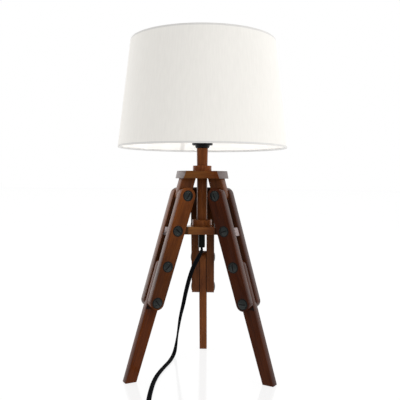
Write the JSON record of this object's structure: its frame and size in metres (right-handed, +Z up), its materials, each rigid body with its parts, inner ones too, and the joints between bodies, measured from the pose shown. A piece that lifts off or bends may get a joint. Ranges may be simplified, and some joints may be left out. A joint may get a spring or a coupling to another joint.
{
  "type": "tripod table lamp",
  "caption": "Table lamp on a bolted wooden tripod, with a tapered drum shade, an upright column, a screw lampholder with its bulb, and a flat lead with a switch and plug.",
  "frame": {"origin": "floor level under the column, in the middle of the shade", "axes": "+Z up, +Y towards the back leg, +X to the right seen from the front; the lead lies towards -Y"},
  "size_m": [0.3, 0.4555, 0.5878],
  "materials": {
    "dark_wood": "dark walnut stain, satin lacquer",
    "gunmetal": "dark gunmetal plating",
    "steel": "zinc plated",
    "black_plastic": "moulded, slightly satin",
    "cord_black": "flexible sheath, satin",
    "insulator": "unglazed",
    "brass": "bright",
    "white_metal": "white powder coat",
    "shade_cloth": "plain weave, off-white",
    "shade_liner": "white, matt",
    "bulb_opal": "opal",
    "bulb_metal": "satin",
    "pin_metal": "nickel plated"
  },
  "bodies": {
    "lamp": {"head_plate": "dark_wood", "head_collar": "dark_wood", "tongue_back": "dark_wood", "tongue_left": "dark_wood", "tongue_right": "dark_wood", "outer_plate_back_a": "dark_wood", "outer_plate_back_b": "dark_wood", "outer_plate_left_a": "dark_wood", "outer_plate_left_b": "dark_wood", "outer_plate_right_a": "dark_wood", "outer_plate_right_b": "dark_wood", "lower_leg_back": "dark_wood", "lower_leg_left": "dark_wood", "lower_leg_right": "dark_wood", "connector_bolts": "gunmetal", "cap_nuts": "gunmetal", "hub": "dark_wood", "hub_collar": "dark_wood", "column": "dark_wood", "neck": "dark_wood", "threaded_tube": "steel", "hub_washer": "steel", "hub_nut": "steel", "cord_gland": "black_plastic", "holder_base": "black_plastic", "holder_skirt": "black_plastic", "holder_insert": "insulator", "screw_shell": "brass", "centre_contact": "brass", "shade_cloth": "shade_cloth", "shade_liner": "shade_liner", "shade_top_ring": "white_metal", "shade_low_ring": "white_metal", "shade_fitter": "white_metal", "inner_cord": "cord_black", "cord_run": "cord_black", "cord_lead": "cord_black", "cord_coil": "cord_black", "coil_tie": "black_plastic", "switch_base": "black_plastic", "switch_cover": "black_plastic", "switch_pin": "steel", "plug_body": "black_plastic", "plug_pins": "pin_metal"},
    "bulb": {"bulb_glass": "bulb_opal", "bulb_cap": "bulb_metal", "bulb_tip": "bulb_metal"},
    "ring_nut": {"shade_ring_nut": "black_plastic"},
    "rocker": {"switch_rocker": "black_plastic"}
  },
  "joints": [
    {"name": "bulb_lift", "type": "slide", "parent": "lamp", "child": "bulb", "axis": [0, 0, 1], "range_m": [0, 0.18]},
    {"name": "ring_nut_turn", "type": "hinge", "parent": "lamp", "child": "ring_nut", "pos_m": [0, 0, 0.4363], "axis": [0, 0, 1], "continuous": true},
    {"name": "rocker_tip", "type": "hinge", "parent": "lamp", "child": "rocker", "pos_m": [0.011, -0.211, 0.01], "axis": [0, 1, 0], "range_deg": [0, 14]}
  ]
}
